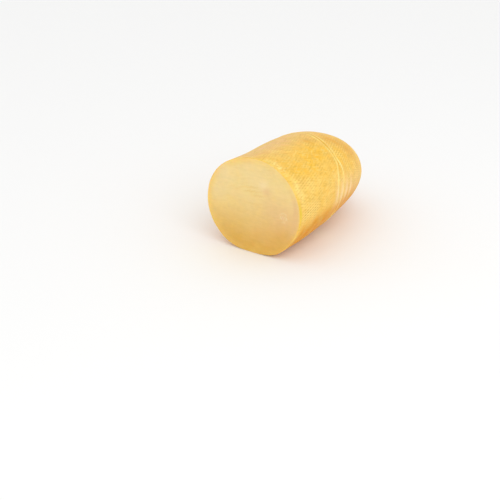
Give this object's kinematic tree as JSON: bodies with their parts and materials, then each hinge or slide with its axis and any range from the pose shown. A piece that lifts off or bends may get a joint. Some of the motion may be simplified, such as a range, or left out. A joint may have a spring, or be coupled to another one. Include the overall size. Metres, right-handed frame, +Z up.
{
  "type": "provolone cheese log",
  "caption": "Cut log of smoked-style provolone, lying on its side: flat cut face, thin golden rind with a string mark, domed far end.",
  "frame": {"origin": "on the ground, under the middle of the log's box", "axes": "+Y along the log from the cut face to the domed end, +Z up, +X to the right seen from the cut face"},
  "size_m": [0.1252, 0.1944, 0.1129],
  "materials": {
    "cheese": "satin golden rind over pale buttery paste"
  },
  "bodies": {
    "root": {"cheese_log": "cheese"}
  },
  "joints": []
}
